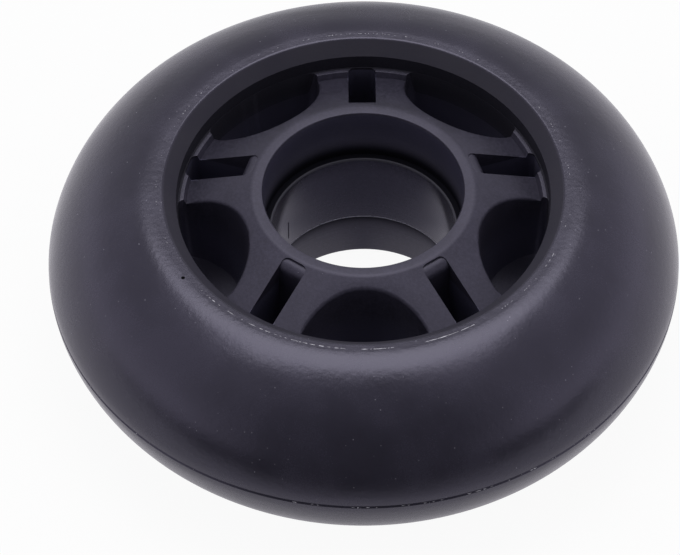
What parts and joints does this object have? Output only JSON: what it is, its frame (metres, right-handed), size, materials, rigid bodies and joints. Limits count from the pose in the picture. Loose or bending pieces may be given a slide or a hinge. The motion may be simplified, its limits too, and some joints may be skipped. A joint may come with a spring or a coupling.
{
  "type": "robot wheel",
  "caption": "Small black wheel with a round-nosed polyurethane tyre cast on a dished, spoked plastic hub, and a bearing seat at each end of its bore.",
  "frame": {"origin": "centre of the wheel, on its axis and midway between its two sides", "axes": "+Z along the wheel's axis, so that the wheel lies on one side; +Y along one spoke"},
  "size_m": [0.07, 0.07, 0.024],
  "materials": {
    "hub": "satin black moulding",
    "tyre": "satin black polyurethane"
  },
  "bodies": {
    "root": {"hub": "hub", "tyre": "tyre"}
  },
  "joints": []
}
